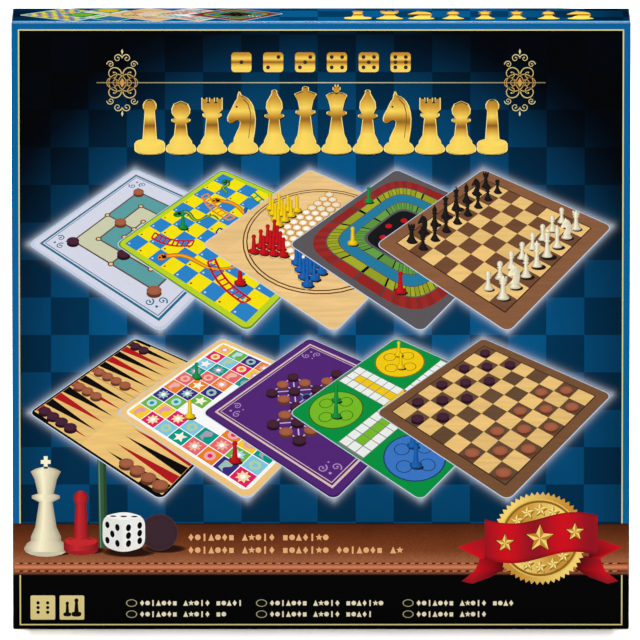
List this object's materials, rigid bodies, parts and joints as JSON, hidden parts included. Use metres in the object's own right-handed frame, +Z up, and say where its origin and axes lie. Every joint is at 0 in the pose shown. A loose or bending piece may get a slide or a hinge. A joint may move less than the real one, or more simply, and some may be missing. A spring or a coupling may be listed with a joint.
{
  "type": "games compendium box",
  "caption": "Square telescoping box on its lower edge: lift-off lid over a base that holds play boards, a booklet and a card insert with chessmen, draughts, pawns, dice and sticks.",
  "frame": {"origin": "middle of the edge face that the standing box rests on", "axes": "+Z up, +X to the right across the cover, +Y from the cover to the back of the base"},
  "size_m": [0.37, 0.0516, 0.37],
  "materials": {
    "greyboard": "raw grey chipboard",
    "lid_print": "printed wrap with a satin laminate",
    "base_print": "printed wrap with a satin laminate",
    "paper_tape": "gummed paper tape",
    "insert_card": "blue-lined card",
    "board_core": "raw grey chipboard edge",
    "print_1": "satin printed paper",
    "print_2": "satin printed paper",
    "print_3": "satin printed paper",
    "print_4": "satin printed paper",
    "print_5": "satin printed paper",
    "booklet_print": "satin printed paper",
    "page_paper": "uncoated paper",
    "staple_wire": "bright flat wire",
    "ivory_plastic": "polished",
    "ebony_plastic": "polished",
    "light_draught_plastic": "polished",
    "dark_draught_plastic": "polished",
    "red_pawn_wood": "gloss lacquer",
    "yellow_pawn_wood": "gloss lacquer",
    "green_pawn_wood": "gloss lacquer",
    "blue_pawn_wood": "gloss lacquer",
    "ebony_pawn_wood": "gloss lacquer",
    "ivory_pawn_wood": "gloss lacquer",
    "die_plastic": "polished",
    "red_stick_wood": "satin stain",
    "yellow_stick_wood": "satin stain",
    "green_stick_wood": "satin stain",
    "blue_stick_wood": "satin stain"
  },
  "bodies": {
    "base": {"base_back_board": "greyboard", "base_top_wall": "greyboard", "base_bottom_wall": "greyboard", "base_left_wall": "greyboard", "base_right_wall": "greyboard", "base_wrap": "base_print", "base_corner_tapes": "paper_tape"},
    "insert": {"insert_shelf_1": "insert_card", "insert_shelf_2": "insert_card", "insert_shelf_3": "insert_card", "insert_shelf_4": "insert_card", "insert_upright_1": "insert_card", "insert_upright_2": "insert_card"},
    "chessmen": {"white_king": "ivory_plastic", "white_queen": "ivory_plastic", "white_bishops": "ivory_plastic", "white_knights": "ivory_plastic", "white_rooks": "ivory_plastic", "white_pawns": "ivory_plastic", "black_king": "ebony_plastic", "black_queen": "ebony_plastic", "black_bishops": "ebony_plastic", "black_knights": "ebony_plastic", "black_rooks": "ebony_plastic", "black_pawns": "ebony_plastic"},
    "draughts": {"light_draughts": "light_draught_plastic", "dark_draughts": "dark_draught_plastic"},
    "playing_pawns": {"red_pawns": "red_pawn_wood", "yellow_pawns": "yellow_pawn_wood", "green_pawns": "green_pawn_wood", "blue_pawns": "blue_pawn_wood", "ebony_pawns": "ebony_pawn_wood", "ivory_pawns": "ivory_pawn_wood"},
    "dice": {"dice": "die_plastic"},
    "sticks": {"red_sticks": "red_stick_wood", "yellow_sticks": "yellow_stick_wood", "green_sticks": "green_stick_wood", "blue_sticks": "blue_stick_wood"},
    "board_1": {"play_board_1": "board_core", "board_prints_1": "print_1"},
    "board_2": {"play_board_2": "board_core", "board_prints_2": "print_2"},
    "board_3": {"play_board_3": "board_core", "board_prints_3": "print_3"},
    "board_4": {"play_board_4": "board_core", "board_prints_4": "print_4"},
    "board_5": {"play_board_5": "board_core", "board_prints_5": "print_5"},
    "booklet": {"booklet_cover": "booklet_print", "booklet_pages": "page_paper", "booklet_staples": "staple_wire"},
    "lid": {"lid_front_board": "greyboard", "lid_top_wall": "greyboard", "lid_bottom_wall": "greyboard", "lid_left_wall": "greyboard", "lid_right_wall": "greyboard", "lid_wrap": "lid_print", "lid_corner_tapes": "paper_tape"}
  },
  "joints": [
    {"name": "insert_out", "type": "slide", "parent": "base", "child": "insert", "axis": [0, -1, 0], "range_m": [0, 0.06]},
    {"name": "chessmen_out", "type": "slide", "parent": "insert", "child": "chessmen", "axis": [0, -1, 0], "range_m": [0, 0.05]},
    {"name": "draughts_out", "type": "slide", "parent": "chessmen", "child": "draughts", "axis": [0, -1, 0], "range_m": [0, 0.05]},
    {"name": "playing_pawns_out", "type": "slide", "parent": "draughts", "child": "playing_pawns", "axis": [0, -1, 0], "range_m": [0, 0.05]},
    {"name": "dice_out", "type": "slide", "parent": "playing_pawns", "child": "dice", "axis": [0, -1, 0], "range_m": [0, 0.05]},
    {"name": "sticks_out", "type": "slide", "parent": "dice", "child": "sticks", "axis": [0, -1, 0], "range_m": [0, 0.05]},
    {"name": "board_1_out", "type": "slide", "parent": "sticks", "child": "board_1", "axis": [0, -1, 0], "range_m": [0, 0.05]},
    {"name": "board_2_out", "type": "slide", "parent": "board_1", "child": "board_2", "axis": [0, -1, 0], "range_m": [0, 0.05]},
    {"name": "board_3_out", "type": "slide", "parent": "board_2", "child": "board_3", "axis": [0, -1, 0], "range_m": [0, 0.05]},
    {"name": "board_4_out", "type": "slide", "parent": "board_3", "child": "board_4", "axis": [0, -1, 0], "range_m": [0, 0.05]},
    {"name": "board_5_out", "type": "slide", "parent": "board_4", "child": "board_5", "axis": [0, -1, 0], "range_m": [0, 0.05]},
    {"name": "booklet_out", "type": "slide", "parent": "board_5", "child": "booklet", "axis": [0, -1, 0], "range_m": [0, 0.05]},
    {"name": "lid_out", "type": "slide", "parent": "booklet", "child": "lid", "axis": [0, -1, 0], "range_m": [0, 0.12]}
  ]
}
